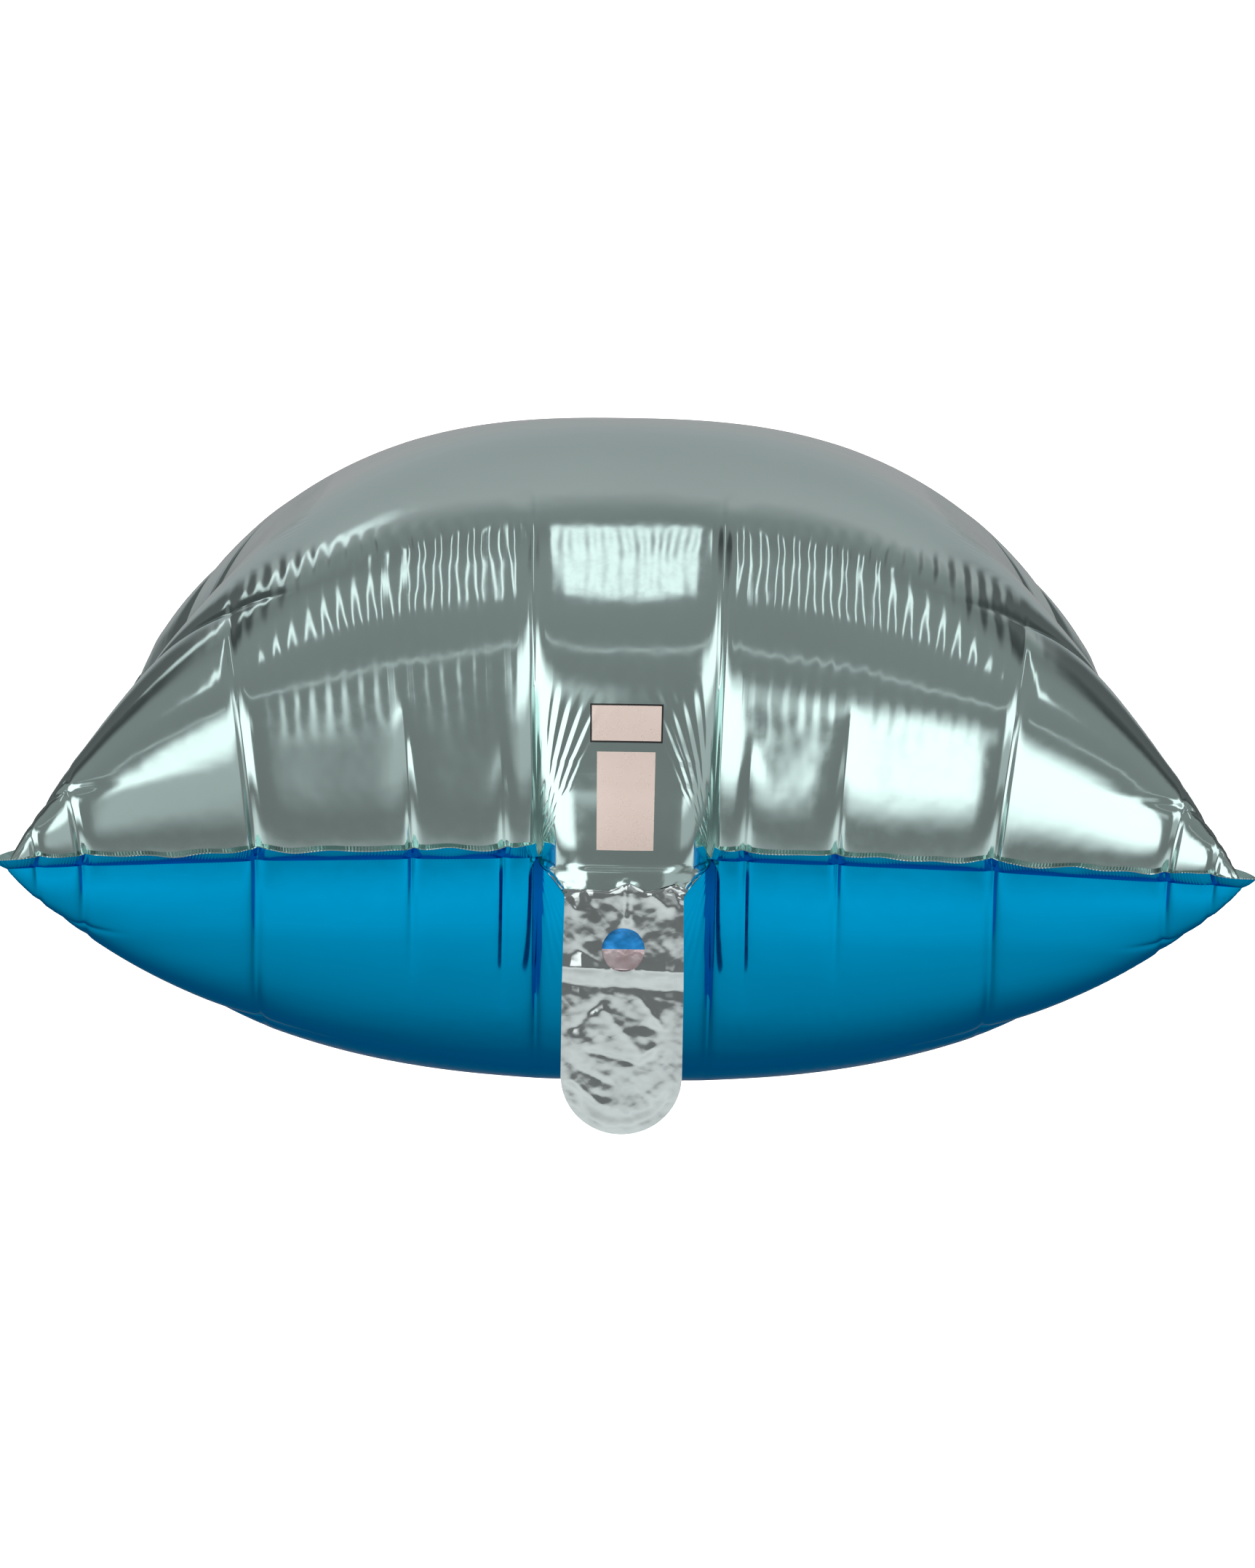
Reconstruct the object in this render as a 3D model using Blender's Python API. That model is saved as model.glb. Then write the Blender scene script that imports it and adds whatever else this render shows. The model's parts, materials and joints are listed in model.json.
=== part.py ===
"""Square foil balloon, inflated and floating with its printed side up.

Two square sheets of metallised film are heat sealed round a 5 mm margin. Inflated, the margin pulls
in between the corners and gathers into puckers. A filling tail leaves the near edge and hangs from a
fold below it. Metres, +X right, +Y away from the tail, +Z up; the origin is the middle of the
envelope, level with the middles of its seam.
"""
import math

import bpy
import bmesh
import numpy as np
from mathutils import Vector
from mathutils.geometry import tessellate_polygon

# Envelope: seam line and bulge
CORNER = 0.2040          # centre to a seam corner, along X or Y
MID_EDGE = 0.1601        # centre to the middle of a seam side
EDGE_POWER = 2.245       # how late the seam swings out to its corners
TOP_HEIGHT = 0.1337      # seam to the top of the printed bulge
BOTTOM_DEPTH = 0.0979    # seam to the bottom of the plain bulge
BULGE_POWER = 2.606      # flatness of the crown
BULGE_ROOT = 0.4625      # steepness at the seam
CORNER_FILL = 0.2156     # fullness toward the corners
CORNER_EASE = -0.1644
CORNER_LIFT = 0.0022     # seam corners above the seam's middles
FLAT_HALF = 0.2285       # centre to a seam of the film as cut
EVEN_STEPS = 96          # fine lattice on which places along the film are evened out
EVEN_ROUNDS = 6

# Films, thicker than the real 0.03 mm so that they are solids
FILM = 0.0010            # envelope film
CORNER_INSET = 0.0021    # along X and Y from a seam corner to the film's inner corner
TAIL_FILM = 0.0008       # neck and tail films
VALVE_FILM = 0.0004      # valve films and the tail's weld
GAP = 0.0003             # clearance that stands for touching faces

# Heat-sealed margin
MARGIN_WIDTH = 0.0050
MARGIN_THICK = 0.0010
MARGIN_TILT = math.radians(40)

# Neck, tail and valve
NECK_FLAT = 0.0315       # half width, along the cut seam, where the neck leaves it
NECK_ROWS = 7
HINGE_Y = -0.1700
HINGE_Z = -0.0110
HINGE_CLEAR = 0.0026     # film stops this far from the fold line on either side
TAIL_HALF_TOP = 0.0198
TAIL_HALF = 0.0203
TAIL_TAPER = 0.0300      # length over which the tail reaches its full width
TAIL_END_Z = -0.0917
SEAL_WIDTH = 0.0027
HOLE_Z = -0.0279
HOLE_RADIUS = 0.00725
HOLE_SIDES = 24
END_SIDES = 20
VALVE_HALF = 0.0145
VALVE_TOP_Z = -0.0165
VALVE_SPLIT_Z = -0.0277
VALVE_BOTTOM_Z = -0.0365
VALVE_ARCH_SIDES = 12

# Puckers along half a side of the cut seam: place from its middle, depth, half width, and how far they
# run in over the printed film and over the plain one
NEAR_PUCKERS = (
    (0.0315, 0.0050, 0.0040, 0.150, 0.190),
    (0.0400, 0.0025, 0.0030, 0.030, 0.055),
    (0.0773, 0.0030, 0.0035, 0.055, 0.070),
    (0.1333, 0.0050, 0.0040, 0.105, 0.170),
    (0.2010, 0.0030, 0.0035, 0.045, 0.060),
)
OTHER_PUCKERS = (
    (0.0000, 0.0040, 0.0040, 0.090, 0.100),
    (0.0773, 0.0045, 0.0040, 0.100, 0.110),
    (0.1333, 0.0050, 0.0040, 0.110, 0.130),
    (0.2010, 0.0030, 0.0035, 0.045, 0.060),
)
LOBE_SHARE = 0.045       # swell between two puckers, as a share of their spacing
LOBE_LEVEL = 0.45        # part of the swell that lies under the smooth form
LOBE_REACH = 0.110
LOBE_PARTER = 0.050      # a pucker that runs in farther than this parts two swells
CORNER_CALM = 0.090      # swells grow to their full height over this distance from a corner

# Grid lines of the films over half a side of the cut seam
HALF_STATIONS = (0.0, 0.0040, 0.0160, 0.0275, 0.0315, 0.0357, 0.0400, 0.0440, 0.0590, 0.0733, 0.0773,
                 0.0813, 0.1050, 0.1293, 0.1333, 0.1373, 0.1560, 0.1780, 0.1970, 0.2010, 0.2050,
                 0.2170, FLAT_HALF)

MINT = (0.42, 0.49, 0.47)
BLUE = (0.0, 0.26, 0.52)
SILVER = (0.62, 0.66, 0.66)
VALVE_INK = (0.0, 0.06, 0.45)
VALVE_CLEAR = (0.62, 0.52, 0.55)


def clear_scene():
    for item in list(bpy.data.objects):
        bpy.data.objects.remove(item, do_unlink=True)


def foil(name, colour, roughness=0.15, metallic=1.0):
    material = bpy.data.materials.new(name)
    material.use_nodes = True
    shader = material.node_tree.nodes["Principled BSDF"]
    shader.inputs["Base Color"].default_value = (*colour, 1.0)
    shader.inputs["Roughness"].default_value = roughness
    shader.inputs["Metallic"].default_value = metallic
    return material


def add_object(name, mesh_edit, material, parent=None, smooth=False):
    """Turn a bmesh in world coordinates into a named object, under its parent's origin."""
    bmesh.ops.recalc_face_normals(mesh_edit, faces=mesh_edit.faces)
    if mesh_edit.calc_volume(signed=True) < 0:
        bmesh.ops.reverse_faces(mesh_edit, faces=mesh_edit.faces)
    if parent is not None:
        bmesh.ops.translate(mesh_edit, verts=mesh_edit.verts, vec=-parent.location)
    mesh = bpy.data.meshes.new(name)
    mesh_edit.to_mesh(mesh)
    mesh_edit.free()
    if smooth:
        mesh.shade_smooth()
        mesh.set_sharp_from_angle(angle=math.radians(50))
    mesh.materials.append(material)
    item = bpy.data.objects.new(name, mesh)
    bpy.context.scene.collection.objects.link(item)
    item.parent = parent
    return item


def add_empty(name, place):
    item = bpy.data.objects.new(name, None)
    item.location = place
    item.empty_display_size = 0.02
    bpy.context.scene.collection.objects.link(item)
    return item


def stations():
    """Grid lines from seam to seam of the cut film."""
    return np.array([-value for value in reversed(HALF_STATIONS[1:])] + list(HALF_STATIONS))


def smooth_step(value):
    value = np.clip(value, 0.0, 1.0)
    return value * value * (3 - 2 * value)


def seam_half(across):
    """Half width of the seam's outline at a relative place across it, -1 to 1."""
    return MID_EDGE + (CORNER - MID_EDGE) * np.abs(across) ** EDGE_POWER


def bulge(u, v, height):
    """Smooth form of one film: u and v run from -1 to 1 between opposite seams."""
    crown = ((1 - np.abs(u) ** BULGE_POWER) * (1 - np.abs(v) ** BULGE_POWER)) ** BULGE_ROOT
    fill = 1 + CORNER_FILL * (u * v) ** 2 + CORNER_EASE * (u * v) ** 4
    z = height * crown * fill + CORNER_LIFT * (u * v) ** 2
    return np.stack([u * seam_half(v), v * seam_half(u), z], axis=-1)


def even_shares(height):
    """Relative places u and v of the grid's points, spaced along the film as on the cut sheet."""
    fine = np.linspace(-1, 1, EVEN_STEPS + 1)
    u, v = np.meshgrid(fine, fine, indexing="ij")
    for axis, place in ((1, v), (0, u)) * EVEN_ROUNDS:
        steps = np.linalg.norm(np.diff(bulge(u, v, height), axis=axis), axis=-1)
        run = np.cumsum(steps, axis=axis)
        for k in range(EVEN_STEPS + 1):
            line = (slice(None), k) if axis == 0 else (k, slice(None))
            part = np.concatenate([[0.0], run[line]])
            place[line] = np.interp(fine, 2 * part / part[-1] - 1, place[line])
    lines = stations() / FLAT_HALF
    sampled = []
    for place in (u, v):
        columns = np.array([np.interp(lines, fine, column) for column in place.T]).T
        sampled.append(np.array([np.interp(lines, fine, row) for row in columns]))
    return sampled


def seam_share(along):
    """Relative place of a point of the seam, from its place along the cut seam."""
    fine = np.linspace(-1, 1, EVEN_STEPS + 1)
    line = np.stack([fine * CORNER, seam_half(fine), CORNER_LIFT * fine ** 2], axis=-1)
    run = np.concatenate([[0.0], np.cumsum(np.linalg.norm(np.diff(line, axis=0), axis=-1))])
    return float(np.interp(along / FLAT_HALF, 2 * run / run[-1] - 1, fine))


def pucker_height(along, inward, puckers, printed):
    """Height over the smooth form near one seam side: valleys at the puckers, swells between."""
    along = np.abs(along)
    height = np.zeros_like(along)
    for place, depth, half_width, *reaches in puckers:
        fade = np.clip(1 - inward / reaches[0 if printed else 1], 0, 1) ** 0.8
        height -= depth * np.exp(-np.abs(along - place) / half_width) * fade
    stops = [row[0] for row in puckers if row[3] > LOBE_PARTER] + [FLAT_HALF]
    if stops[0] > 0:
        stops.insert(0, -stops[0])
    for start, end in zip(stops, stops[1:]):
        part = np.clip((along - start) / (end - start), 0, 1)
        swell = LOBE_SHARE * (end - start) * (np.sin(np.pi * part) ** 0.8 - LOBE_LEVEL)
        swell *= smooth_step(1 - inward / LOBE_REACH) * smooth_step((FLAT_HALF - along) / CORNER_CALM)
        height += np.where((along >= start) & (along < end), swell, 0.0)
    return height


def outward(points, height):
    """Unit normals of a film's grid, pointing out of the envelope and level along the seam."""
    lines = stations()
    normal = np.cross(np.gradient(points, lines, axis=0), np.gradient(points, lines, axis=1))
    normal *= math.copysign(1.0, height)
    for edge in (np.s_[0], np.s_[-1], np.s_[:, 0], np.s_[:, -1]):
        normal[edge][..., 2] = 0.0
    return normal / np.linalg.norm(normal, axis=-1, keepdims=True)


def side_vector(side, along, out):
    """Turn a place along a side and outward from the centre into x, y and 0."""
    return {
        "near": np.array([along, -out, 0.0]),
        "far": np.array([along, out, 0.0]),
        "left": np.array([-out, along, 0.0]),
        "right": np.array([out, along, 0.0]),
    }[side]


def seam_normal(side, share):
    """Outward direction, level, at a relative place along one side of the seam."""
    slope = (CORNER - MID_EDGE) * EDGE_POWER * abs(share) ** (EDGE_POWER - 1) / CORNER
    length = math.hypot(1.0, slope)
    return side_vector(side, -math.copysign(slope, share) / length, 1.0 / length)


def side_puckers(side):
    return NEAR_PUCKERS if side == "near" else OTHER_PUCKERS


def seam_point(side, along):
    """Puckered seam line and its outward direction at a place along one side of the cut seam."""
    share = seam_share(along)
    place = side_vector(side, share * CORNER, float(seam_half(share)))
    place[2] = CORNER_LIFT * share ** 2
    level = seam_normal(side, share)
    shift = float(pucker_height(np.array(along), np.array(0.0), side_puckers(side), True))
    return place + level * shift, level


def puckered_film(height):
    """Grid of one film's outer surface with its puckers, the seam lines first and last."""
    lines = stations()
    u, v = even_shares(height)
    points = bulge(u, v, height)
    normals = outward(points, height)
    across, away = np.meshgrid(lines, lines, indexing="ij")
    for side, along, inward, edge in (
        ("near", across, away + FLAT_HALF, np.s_[:, 0]),
        ("far", across, FLAT_HALF - away, np.s_[:, -1]),
        ("left", away, across + FLAT_HALF, np.s_[0]),
        ("right", away, FLAT_HALF - across, np.s_[-1]),
    ):
        direction = normals.copy()
        direction[edge] = [seam_normal(side, seam_share(value)) for value in lines]
        rise = pucker_height(along, inward, side_puckers(side), height > 0)
        points += direction * rise[..., None]
    return points


def shell_between(outer, inner):
    """Closed body between two grids of points, with the faces that join their edges.

    Each cell is split along the line that runs toward the grid's middle, which keeps corners convex.
    """
    edit = bmesh.new()
    rows, columns = outer.shape[0] - 1, outer.shape[1] - 1
    grids = [[[edit.verts.new(point) for point in line] for line in grid] for grid in (outer, inner)]
    for grid in grids:
        for i in range(rows):
            for j in range(columns):
                a, b, c, d = grid[i][j], grid[i + 1][j], grid[i + 1][j + 1], grid[i][j + 1]
                if (2 * i + 1 - rows) * (2 * j + 1 - columns) < 0:
                    a, b, c, d = b, c, d, a
                edit.faces.new((a, b, c))
                edit.faces.new((a, c, d))
    loop = [(i, 0) for i in range(rows)] + [(rows, j) for j in range(columns)]
    loop += [(rows - i, columns) for i in range(rows)] + [(0, columns - j) for j in range(columns)]
    for (i, j), (m, n) in zip(loop, loop[1:] + loop[:1]):
        edit.faces.new((grids[0][i][j], grids[0][m][n], grids[1][m][n], grids[1][i][j]))
    return edit


def film_shell(height):
    """One dished film as a closed body, clear of the other film by the gap."""
    outer = puckered_film(height) + np.array([0, 0, math.copysign(GAP / 2, height)])
    depth = outward(outer, height) * FILM
    for i in (0, -1):
        for j in (0, -1):
            depth[i, j] = np.sign(outer[i, j]) * np.array([1, 1, 0]) * CORNER_INSET
    return shell_between(outer, outer - depth)


def swept_strip(sections):
    """Closed body through a row of four-cornered sections."""
    edit = bmesh.new()
    rings = [[edit.verts.new(corner) for corner in section] for section in sections]
    for ring, following in zip(rings, rings[1:]):
        for k in range(4):
            m = (k + 1) % 4
            edit.faces.new((ring[k], ring[m], following[m], following[k]))
    edit.faces.new(rings[0])
    edit.faces.new(rings[-1])
    return edit


def margin_section(side, along):
    """Four corners of the sealed margin's section; it meets its neighbour on the corner's diagonal."""
    root, level = seam_point(side, along)
    if abs(along) >= FLAT_HALF:
        level = side_vector(side, math.copysign(1.0, along), 1.0) / math.sqrt(2)
        apart = side_vector(side, -math.copysign(1.0, along), 1.0) / math.sqrt(2)
        root = root + apart * GAP
    up = np.array([0.0, 0.0, 1.0])
    run = level * math.cos(MARGIN_TILT) + up * math.sin(MARGIN_TILT)
    rise = up * math.cos(MARGIN_TILT) - level * math.sin(MARGIN_TILT)
    inner = root + level * GAP
    outer = inner + run * MARGIN_WIDTH
    half = MARGIN_THICK / 2
    return (inner - up * half, outer - rise * half, outer + rise * half, inner + up * half)


def margin(side, start, end):
    places = [value for value in stations() if start <= value <= end]
    return swept_strip([margin_section(side, along) for along in places])


def neck_film(near_face, far_face):
    """Film from the seam to the fold line, between two distances off the neck's middle surface.

    Each distance is a pair: at the seam and at the fold line. Positive is the printed side.
    """
    columns = [value for value in stations() if abs(value) <= NECK_FLAT]
    grids = []
    for start, end in (near_face, far_face):
        grid = np.zeros((NECK_ROWS, len(columns), 3))
        for r, part in enumerate(np.linspace(0, 1, NECK_ROWS)):
            turn = part * math.pi / 2
            face = np.array([0.0, -math.sin(turn), math.cos(turn)])
            for c, along in enumerate(columns):
                edge, level = seam_point("near", along)
                root = edge + level * GAP
                goal = np.array([along / NECK_FLAT * TAIL_HALF_TOP, HINGE_Y, HINGE_Z + HINGE_CLEAR])
                share = np.array([part, math.sin(turn), 1 - math.cos(turn)])
                grid[r, c] = root + (goal - root) * share + face * (start + (end - start) * part)
        grids.append(grid)
    return shell_between(*grids)


def upright_plate(outline, low_y, high_y, hole=()):
    """Plate in the XZ plane from an outline of (x, z) points, with one hole if given."""
    loops = [loop for loop in (outline, hole) if loop]
    flat = [[Vector((x, z, 0.0)) for x, z in loop] for loop in loops]
    points = [point for loop in loops for point in loop]
    edit = bmesh.new()
    front = [edit.verts.new((x, low_y, z)) for x, z in points]
    back = [edit.verts.new((x, high_y, z)) for x, z in points]
    for a, b, c in tessellate_polygon(flat):
        edit.faces.new((front[a], front[b], front[c]))
        edit.faces.new((back[c], back[b], back[a]))
    start = 0
    for loop in loops:
        size = len(loop)
        for k in range(size):
            a, b = start + k, start + (k + 1) % size
            edit.faces.new((front[a], front[b], back[b], back[a]))
        start += size
    return edit


def tail_outline(inset=0.0):
    """Tail from the fold line down to its round end, drawn in by inset except at the top."""
    top = HINGE_Z - HINGE_CLEAR
    centre = TAIL_END_Z + TAIL_HALF
    radius = TAIL_HALF - inset
    right = [(TAIL_HALF_TOP - inset, top), (TAIL_HALF - inset, top - TAIL_TAPER)]
    left = [(-x, z) for x, z in reversed(right)]
    turns = [math.pi * k / END_SIDES for k in range(END_SIDES + 1)]
    end = [(radius * math.cos(turn), centre - radius * math.sin(turn)) for turn in turns]
    return right + end + left


def circle(radius, z, sides):
    turns = [2 * math.pi * k / sides for k in range(sides)]
    return [(radius * math.cos(turn), z + radius * math.sin(turn)) for turn in turns]


def valve_arch():
    turns = [math.pi * k / VALVE_ARCH_SIDES for k in range(VALVE_ARCH_SIDES + 1)]
    rise = VALVE_TOP_Z - VALVE_SPLIT_Z
    return [(VALVE_HALF * math.cos(turn), VALVE_SPLIT_Z + rise * math.sin(turn)) for turn in turns]


def make_envelope():
    mint = foil("mint_foil", MINT)
    blue = foil("blue_foil", BLUE)
    add_object("mint_film", film_shell(TOP_HEIGHT), mint, smooth=True)
    add_object("blue_film", film_shell(-BOTTOM_DEPTH), blue, smooth=True)
    add_object("margin_near_left", margin("near", -FLAT_HALF, -NECK_FLAT), mint)
    add_object("margin_near_right", margin("near", NECK_FLAT, FLAT_HALF), mint)
    for side in ("left", "right", "far"):
        add_object("margin_" + side, margin(side, -FLAT_HALF, FLAT_HALF), mint)
    silver = foil("neck_foil", SILVER)
    in_ply = VALVE_FILM / 2 + GAP
    seam_gap = GAP / 2
    for name, side, material in (("neck_mint_film", 1, silver), ("neck_blue_film", -1, blue)):
        inner = (side * seam_gap, side * in_ply)
        outer = tuple(value + side * TAIL_FILM for value in inner)
        add_object(name, neck_film(inner, outer), material)


def make_tail():
    hinge = add_empty("tail_fold", Vector((0.0, HINGE_Y, HINGE_Z)))
    silver = foil("tail_foil", SILVER)
    blue = foil("tail_blue_foil", BLUE)
    weld = VALVE_FILM / 2
    ply = weld + GAP
    add_object("tail_mint_film",
               upright_plate(tail_outline(), HINGE_Y - ply - TAIL_FILM, HINGE_Y - ply,
                             circle(HOLE_RADIUS, HOLE_Z, HOLE_SIDES)), silver, hinge)
    add_object("tail_blue_film",
               upright_plate(tail_outline(), HINGE_Y + ply, HINGE_Y + ply + TAIL_FILM), blue, hinge)
    band = tail_outline() + list(reversed(tail_outline(SEAL_WIDTH)))
    add_object("tail_weld", upright_plate(band, HINGE_Y - weld, HINGE_Y + weld), silver, hinge)
    add_object("valve_inked_film", upright_plate(valve_arch(), HINGE_Y - weld, HINGE_Y + weld),
               foil("valve_ink", VALVE_INK, metallic=0.6), hinge)
    strip = [(-VALVE_HALF, VALVE_BOTTOM_Z), (VALVE_HALF, VALVE_BOTTOM_Z),
             (VALVE_HALF, VALVE_SPLIT_Z - GAP), (-VALVE_HALF, VALVE_SPLIT_Z - GAP)]
    add_object("valve_clear_film", upright_plate(strip, HINGE_Y - weld, HINGE_Y + weld),
               foil("valve_clear", VALVE_CLEAR), hinge)


def main():
    clear_scene()
    make_envelope()
    make_tail()


main()
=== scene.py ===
"""Looks of the inflated square foil balloon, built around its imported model.

The two films are cut flat, given the inflated form with the first puckers pressed in, and relaxed as
cloth under pressure, so that the film's spare length gathers along the seam as it does in the real
one. Margins, neck, tail and valve follow. Metres, +X right, +Y away from the tail, +Z up.
"""
import json
import math

import bmesh
import bpy
import numpy as np
from mathutils import Matrix, Vector, noise


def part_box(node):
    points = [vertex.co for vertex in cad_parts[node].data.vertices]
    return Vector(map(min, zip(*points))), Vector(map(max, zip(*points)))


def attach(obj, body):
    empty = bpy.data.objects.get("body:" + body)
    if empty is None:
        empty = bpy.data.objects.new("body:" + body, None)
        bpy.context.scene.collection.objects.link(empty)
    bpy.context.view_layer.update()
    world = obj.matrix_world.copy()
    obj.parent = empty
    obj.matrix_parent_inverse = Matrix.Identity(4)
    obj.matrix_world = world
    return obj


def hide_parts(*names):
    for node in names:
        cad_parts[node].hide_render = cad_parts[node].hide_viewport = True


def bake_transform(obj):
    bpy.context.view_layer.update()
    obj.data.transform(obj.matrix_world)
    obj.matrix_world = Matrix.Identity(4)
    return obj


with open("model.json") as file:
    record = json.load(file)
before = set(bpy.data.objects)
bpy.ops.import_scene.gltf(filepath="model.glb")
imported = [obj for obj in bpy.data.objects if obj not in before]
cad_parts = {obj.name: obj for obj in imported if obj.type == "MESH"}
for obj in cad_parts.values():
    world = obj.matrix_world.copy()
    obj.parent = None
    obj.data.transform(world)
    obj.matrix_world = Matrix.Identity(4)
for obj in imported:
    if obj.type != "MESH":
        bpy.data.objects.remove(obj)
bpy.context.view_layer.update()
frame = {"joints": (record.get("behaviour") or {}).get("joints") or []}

# Envelope's smooth form, from the frame where it gives it
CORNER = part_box("mint_film")[1].x
TOP_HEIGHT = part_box("mint_film")[1].z
BOTTOM_DEPTH = -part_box("blue_film")[0].z
MID_EDGE = 0.1601        # centre to the middle of a seam side
EDGE_POWER = 2.245       # how late the seam swings out to its corners
BULGE_POWER = 2.606      # flatness of the crown
BULGE_ROOT = 0.4625      # steepness at the seam
CORNER_FILL = 0.2156     # fullness toward the corners
CORNER_EASE = -0.1644
CORNER_LIFT = 0.0022

# Films as cut, and how they are simulated
FLAT_SIDE = 0.457        # between opposite seams
FLAT_HALF = FLAT_SIDE / 2
EVEN_STEPS = 96          # fine lattice on which places along the film are evened out
EVEN_ROUNDS = 6
PITCH = 0.0062           # widest cloth cell
FOLD_STEPS = (-0.0035, -0.0014, 0.0, 0.0014, 0.0035)   # lattice lines beside each fold
FILM_THICK = 0.0002
SETTLE_FRAMES = 20

# Sealed margin: it stands up from the seam, more so where a fold gathers it
MARGIN_WIDTH = 0.0058
MARGIN_ROWS = 4
MARGIN_THICK = 0.0004
MARGIN_TILT = math.radians(38)
MARGIN_PINCH = math.radians(26)
NECK_FLAT = 0.0315       # half width of the neck's opening in the flat seam
FAR_DROOP = 0.008        # how far the far corners hang below the near ones

# Tail, from its joint and nodes
HINGE = Vector(frame["joints"][0]["pos_m"])
TAIL_LOW, TAIL_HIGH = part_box("tail_mint_film")
TAIL_HALF = TAIL_HIGH.x
TAIL_HALF_TOP = 0.0198
TAIL_TAPER = 0.0300      # length over which the tail reaches its full width
TAIL_LENGTH = HINGE.z - TAIL_LOW.z
HOLE_RADIUS = 0.00725
HOLE_DROP = 0.0169       # hinge line down to the hole's middle
HOLE_BLEND = 0.0120      # where the lattice round the hole is square again
PLY_GAP = 0.0002         # middle surface to a ply at the weld
PLY_SWELL = 0.0007       # and between the welds
PLY_THICK = 0.0002
SEAL_WIDTH = 0.0027
TAIL_CURL = 0.55         # metres of backward set per square metre of drop
VALVE_HALF = 0.0148
VALVE_TOP = 0.0064       # below the hinge line
VALVE_SPLIT = 0.0167
VALVE_FOOT = 0.0255

# Blank places for print, on the flat film: half width, near edge and far edge from the near seam
UPPER_PRINT = (0.0126, 0.0375, 0.0500)
LOWER_PRINT = (0.0102, 0.0040, 0.0345)
PRINT_LINE = 0.0006

# Photograph's frame and the camera found for it
PHOTO_WIDTH, PHOTO_HEIGHT = 1725, 2156
FOCAL_PX = 7398.0
CENTRE_PX = (856.7, 1083.6)
CAMERA_DISTANCE = 1.955
CAMERA_ELEVATION = math.radians(8.83)
CAMERA_YAW = 0.0051
CAMERA_ROLL = 0.0161

MINT = (0.60, 0.77, 0.74)
BLUE = (0.0, 0.31, 0.60)
SILVER = (0.58, 0.645, 0.64)
VALVE_INK = (0.0, 0.19, 0.50)
VALVE_CLEAR = (0.72, 0.56, 0.58)
PRINT_PINK = (0.60, 0.50, 0.45)
PRINT_EDGE = (0.02, 0.02, 0.02)

# Puckers along half a side of the cut seam: place from its middle, depth, half width, and how far they
# run in over the printed film and over the plain one
NEAR_PUCKERS = (
    (0.0315, 0.0030, 0.0018, 0.150, 0.150),
    (0.0440, 0.0018, 0.0018, 0.035, 0.060),
    (0.0773, 0.0024, 0.0020, 0.050, 0.050),
    (0.1333, 0.0026, 0.0018, 0.105, 0.120),
    (0.1960, 0.0024, 0.0022, 0.045, 0.045),
    (0.2130, 0.0018, 0.0020, 0.025, 0.025),
)
OTHER_PUCKERS = (
    (0.0000, 0.0030, 0.0030, 0.090, 0.100),
    (0.0773, 0.0035, 0.0030, 0.100, 0.110),
    (0.1333, 0.0035, 0.0030, 0.110, 0.130),
    (0.2010, 0.0024, 0.0025, 0.045, 0.045),
)
NECK_LOBE_SHARE = 0.050
LOBE_SHARE = 0.014       # swell between two puckers, as a share of their spacing
LOBE_LEVEL = 0.45        # part of the swell that lies under the smooth form
LOBE_REACH = 0.110
LOBE_PARTER = 0.051      # a pucker that runs in farther than this parts two swells
CORNER_CALM = 0.090      # swells grow to their full height over this distance from a corner
FOLD_DEPTH = 0.45        # sharp fold in the bottom of a pucker, as a share of its depth
FOLD_HALF = 0.0011

# Fans of small folds beside the print: angle from fold to fold, length, rise for each metre of length
# against the ripples' own height, and how the folds bend
FAN_SPACING = 0.085
FAN_LENGTH = 0.062
FAN_RISE = 40.0
FAN_BEND = -1.2

# Crease where the printed film ends and the bare tail begins: across and drop in millimetres
ZIGZAG = ((-20.3, -3.8), (-11.4, -3.8), (-4.6, -3.6), (1.2, -7.2), (6.8, -3.6), (11.1, -4.3),
          (15.2, -6.8), (19.8, -4.5))
# Folds pressed into neck and tail: ends as (across, drop), height and half width, all in millimetres
TAIL_FOLDS = (
    ((1.2, -6.6), (1.2, 6.6), 1.9, 1.2),
    ((-25.0, -9.5), (-20.0, -2.5), -1.2, 1.0), ((20.0, -2.5), (25.0, -9.5), -1.2, 1.0),
    ((-27.0, -13.5), (-21.5, -7.0), 1.0, 1.2), ((21.5, -7.0), (27.0, -13.5), 1.0, 1.2),
    ((-21.0, -14.0), (-17.5, -6.0), -1.0, 0.8), ((17.5, -6.0), (21.0, -14.0), -1.0, 0.8),
    ((15.5, -3.0), (19.0, 1.8), -0.8, 0.9), ((-19.5, -1.0), (-16.0, 4.0), 0.6, 1.5),
    ((-13.0, -3.0), (-9.0, 5.0), -0.5, 1.5), ((9.5, -2.0), (14.5, 2.5), 0.7, 1.8),
    ((-20.0, 23.0), (20.0, 24.2), 1.0, 1.9), ((-20.0, 28.5), (20.0, 31.0), -0.5, 2.4),
    ((-15.0, 17.0), (-7.0, 22.5), -0.4, 1.0), ((6.0, 33.0), (13.5, 43.5), 0.5, 1.0),
    ((-16.0, 44.0), (-7.0, 34.0), -0.5, 1.4), ((-5.0, 38.0), (6.0, 52.0), 0.35, 1.6),
    ((-12.0, 51.5), (4.0, 55.5), -0.35, 0.9), ((-16.5, 62.0), (-6.5, 70.0), 0.4, 1.2),
    ((-14.0, 58.0), (-4.0, 63.0), -0.35, 1.1), ((5.0, 55.0), (10.5, 50.0), 0.3, 0.9),
)
NECK_DROP = 0.0155       # length of film from the seam to the fold line
NECK_PULL = 0.014        # how stiffly the neck leaves the seam and meets the tail
NECK_REACH = 0.0065      # how far the open mouth stands out from the seam line
NECK_ROWS = 14
PLY_NECK_ROWS = 10
TAIL_COLUMNS = 44
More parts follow.
